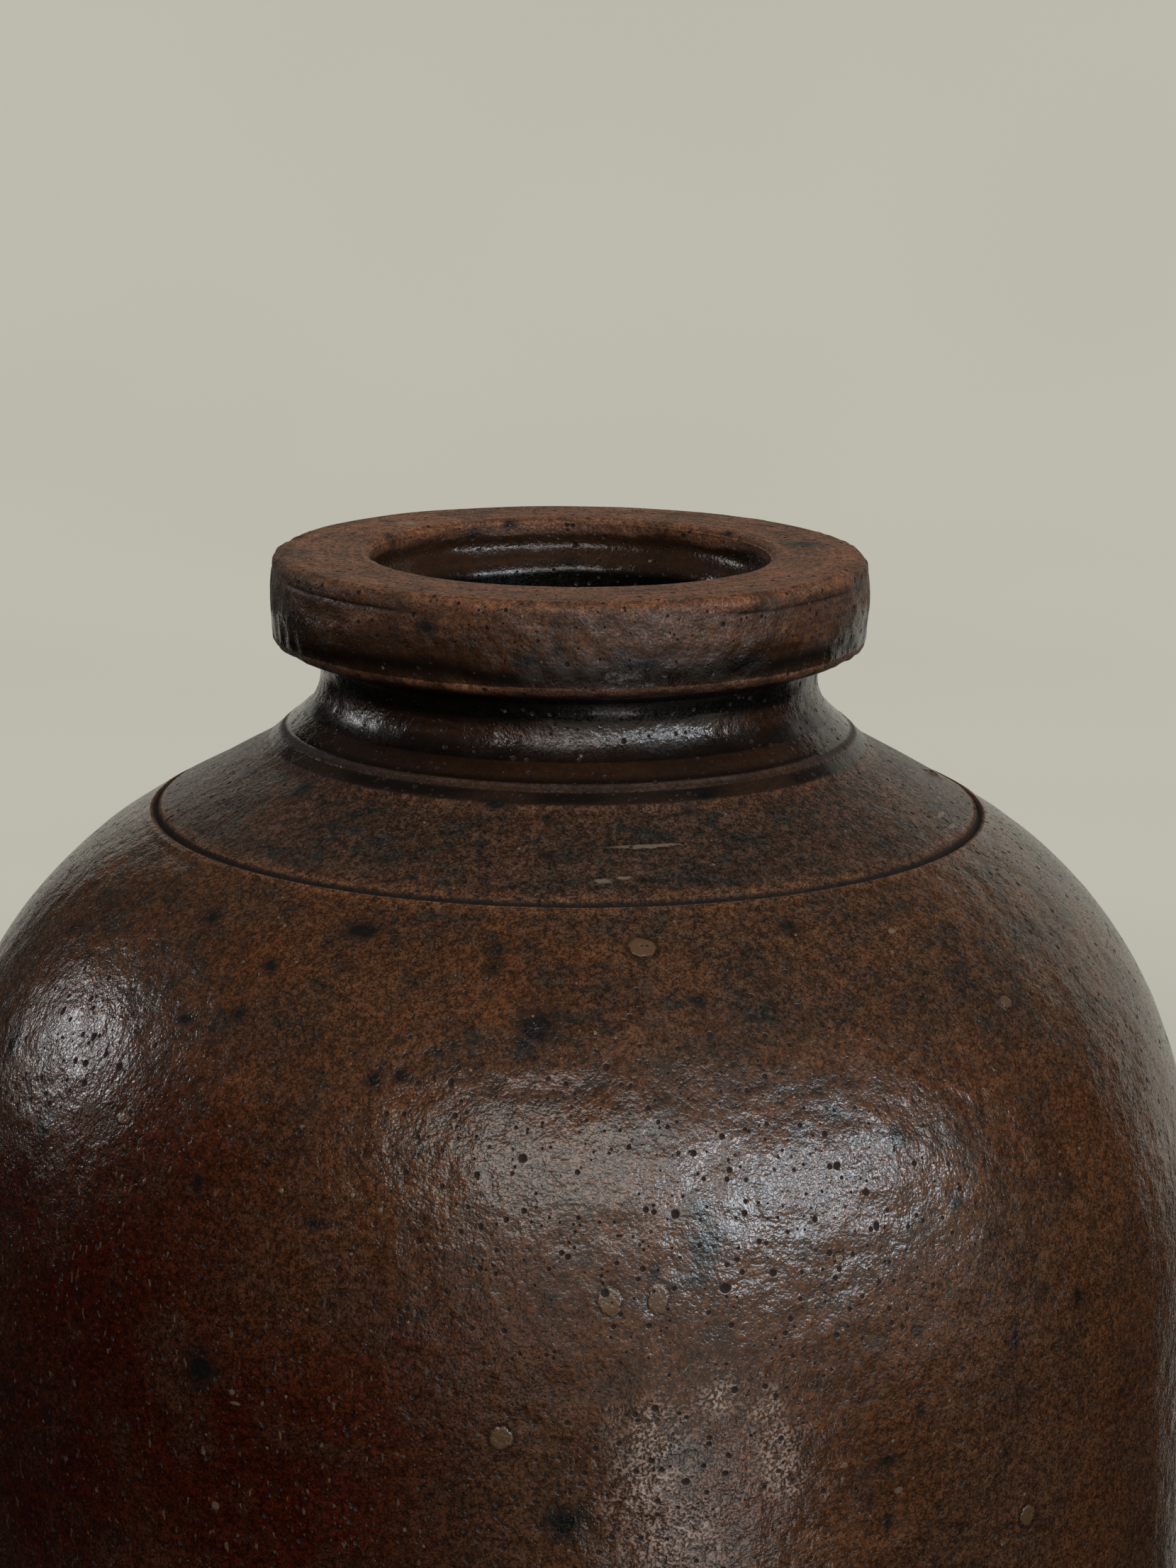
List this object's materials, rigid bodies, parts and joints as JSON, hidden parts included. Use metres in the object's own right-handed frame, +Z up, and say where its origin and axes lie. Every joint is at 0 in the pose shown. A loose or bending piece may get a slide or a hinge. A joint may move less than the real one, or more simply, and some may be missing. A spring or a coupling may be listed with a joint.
{
  "type": "stoneware jug",
  "caption": "Wheel-thrown stoneware storage jug with a broad body, rounded shoulder with an incised line, short waisted neck and thick flat-topped flange rim.",
  "frame": {"origin": "middle of the underside, on the table", "axes": "+Z up the jug's axis to the mouth; the jug is turned, so X and Y are alike"},
  "size_m": [0.2614, 0.2614, 0.35],
  "materials": {
    "bare_foot_clay": "bare fired clay, rubbed where it stands",
    "brown_salt_glaze": "brown salt glaze with fine orange peel, pits and iron spots",
    "dusky_shoulder_glaze": "thin dry glaze, mottled brown and gunmetal",
    "dark_neck_glaze": "dark glossy glaze",
    "dry_rim_clay": "dry matt brown with turning lines, rubbed at the edge"
  },
  "bodies": {
    "root": {"floor_slab": "bare_foot_clay", "lower_wall": "brown_salt_glaze", "upper_wall": "brown_salt_glaze", "shoulder": "dusky_shoulder_glaze", "neck_collar": "dark_neck_glaze", "rim_ring": "dry_rim_clay"}
  },
  "joints": []
}
